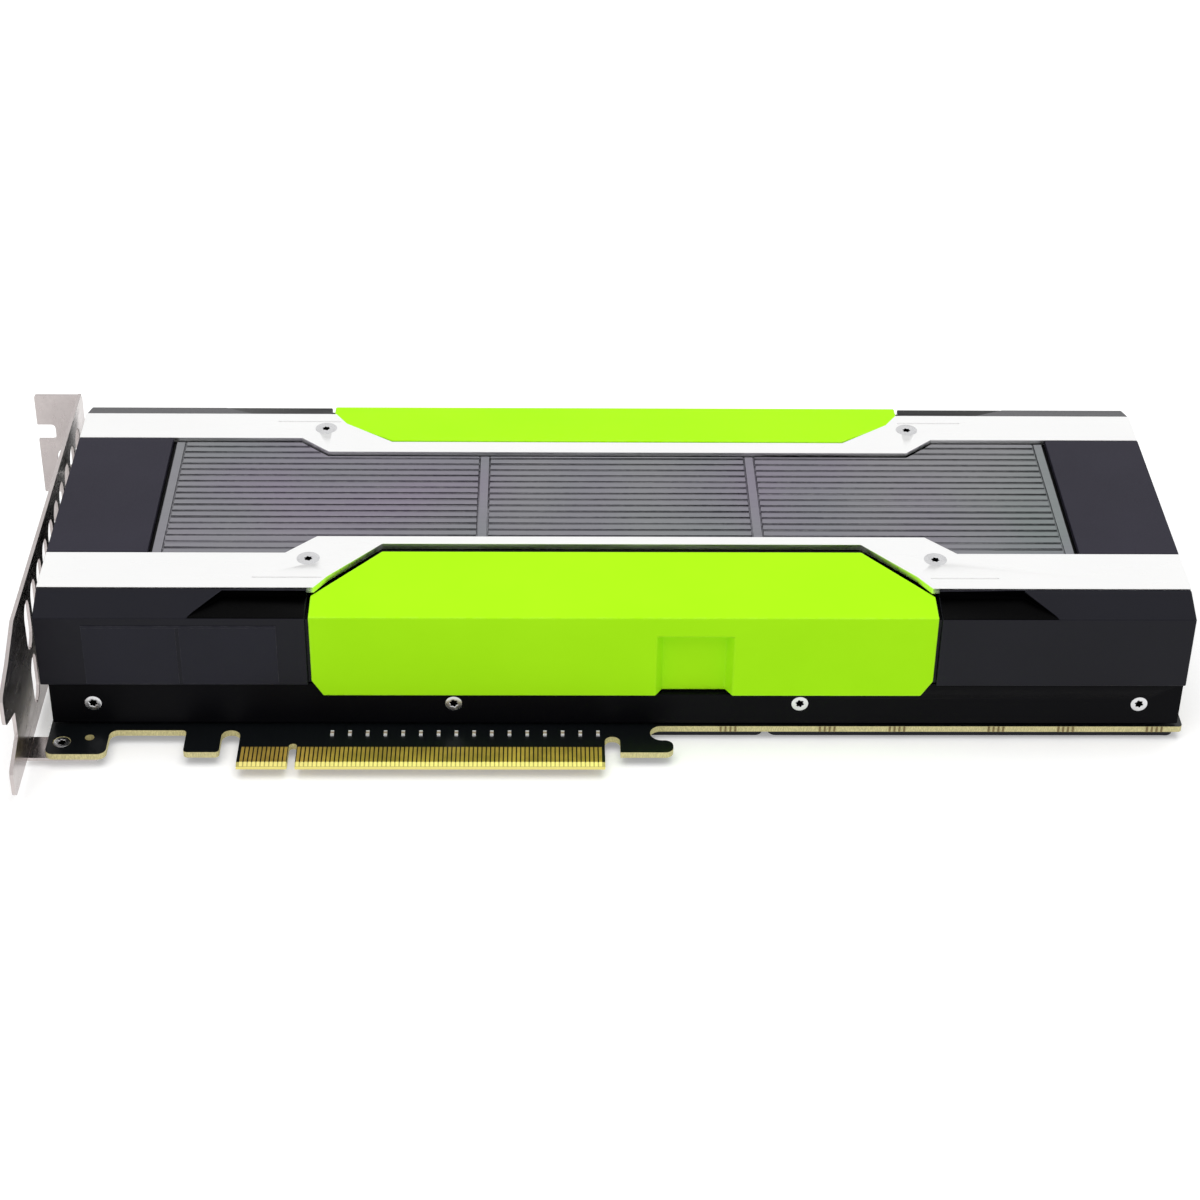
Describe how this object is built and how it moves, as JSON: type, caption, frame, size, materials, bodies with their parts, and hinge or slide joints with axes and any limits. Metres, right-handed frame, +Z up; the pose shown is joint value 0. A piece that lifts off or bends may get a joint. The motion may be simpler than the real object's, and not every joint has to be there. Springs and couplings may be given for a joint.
{
  "type": "passive accelerator card",
  "caption": "Dual-slot accelerator card cooled by the server's own airflow: finned duct housing with green side covers, vented bracket, edge connector and rear power socket.",
  "frame": {"origin": "centre of the overall length and depth, on the plane that the backplates rest on", "axes": "+X along the card from the bracket to the rear end, +Y from the edge connector to the far edge, +Z up out of the component side"},
  "size_m": [0.2828, 0.1234, 0.0389],
  "materials": {
    "board_laminate": "dark solder mask over glass fibre laminate",
    "gold_plating": "gold plated contacts",
    "ceramic_chip": "ceramic capacitor bodies with tinned ends",
    "package_black": "moulded chip package",
    "silicon": "polished silicon",
    "thermal_pad": "soft thermal pad",
    "inductor_body": "pressed powder inductor",
    "capacitor_can": "drawn can",
    "socket_black": "moulded socket",
    "frame_black": "fine black finish, slightly glossy",
    "housing_black": "black anodised look, satin",
    "cover_green": "bright yellow-green paint, satin",
    "rail_silver": "fine blasted and brushed aluminium",
    "panel_grey": "grey anodised, ribbed",
    "end_panel_dark": "dark grey satin",
    "fin_aluminium": "thin plain fins",
    "chamber_nickel": "nickel plated copper",
    "bracket_nickel": "nickel plated sheet",
    "screw_steel": "plated steel",
    "backplate_black": "black satin sheet"
  },
  "bodies": {
    "root": {"circuit_board": "board_laminate", "edge_contacts": "gold_plating", "coupling_capacitors": "ceramic_chip", "processor_substrate": "package_black", "processor_die": "silicon", "memory_chips": "package_black", "memory_pads": "thermal_pad", "power_inductors": "inductor_body", "power_stages": "package_black", "stage_pads": "thermal_pad", "stage_heatsink": "fin_aluminium", "bulk_capacitors": "capacitor_can", "controller_chips": "package_black", "power_socket": "socket_black", "power_pins": "gold_plating", "base_frame": "frame_black", "vapour_chamber": "chamber_nickel", "fin_stack": "fin_aluminium", "shroud": "housing_black", "near_rail": "rail_silver", "far_rail": "rail_silver", "rib_panel": "panel_grey", "bracket_end_panel": "end_panel_dark", "rear_end_panel": "end_panel_dark", "near_cover": "cover_green", "far_cover": "cover_green", "rail_screws": "screw_steel", "near_side_screws": "screw_steel", "far_side_screws": "screw_steel", "io_bracket": "bracket_nickel", "bracket_screws": "screw_steel", "front_backplate": "backplate_black", "rear_backplate": "backplate_black", "backplate_screws": "screw_steel", "processor_brace": "bracket_nickel", "cooler_screws": "screw_steel"}
  },
  "joints": []
}
